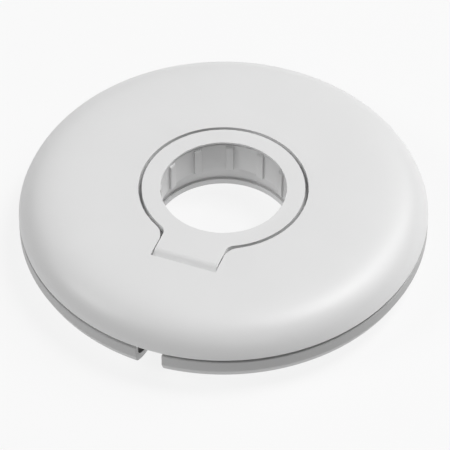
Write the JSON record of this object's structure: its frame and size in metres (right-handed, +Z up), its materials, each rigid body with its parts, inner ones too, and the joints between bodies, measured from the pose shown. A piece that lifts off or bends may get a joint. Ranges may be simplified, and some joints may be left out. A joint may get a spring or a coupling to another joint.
{
  "type": "watch charger dock",
  "caption": "Round domed dock and cable winder for a watch-charging puck, with a flip-up puck holder ring and a notched base tray.",
  "frame": {"origin": "centre of the underside of the foot ring, on the axis that the cover turns about", "axes": "+Z up out of the puck's hole; -Y towards the tab of the holder ring and the notch in the tray; +X to the right"},
  "size_m": [0.091, 0.091, 0.0155],
  "materials": {
    "cover_plastic": "fine satin moulding",
    "tray_plastic": "fine satin moulding",
    "hub_plastic": "plain moulding",
    "washer_plastic": "smooth",
    "liner_rubber": "soft matt",
    "foot_rubber": "soft matt",
    "steel": "plain"
  },
  "bodies": {
    "base": {"base_tray": "tray_plastic", "foot_ring": "foot_rubber"},
    "turntable": {"top_cover": "cover_plastic", "spool_hub": "hub_plastic", "hub_screws": "steel", "glide_washer": "washer_plastic", "retainer_plate": "hub_plastic", "retainer_screws": "steel", "hinge_pin": "steel", "hinge_washers": "steel"},
    "holder": {"holder_ring": "cover_plastic", "grip_liner": "liner_rubber"}
  },
  "joints": [
    {"name": "cover_turn", "type": "hinge", "parent": "base", "child": "turntable", "pos_m": [0, 0, 0.003], "axis": [0, 0, 1], "continuous": true},
    {"name": "holder_flip", "type": "hinge", "parent": "turntable", "child": "holder", "pos_m": [0, -0.02175, 0.0127], "axis": [1, 0, 0], "range_deg": [0, 90]}
  ]
}
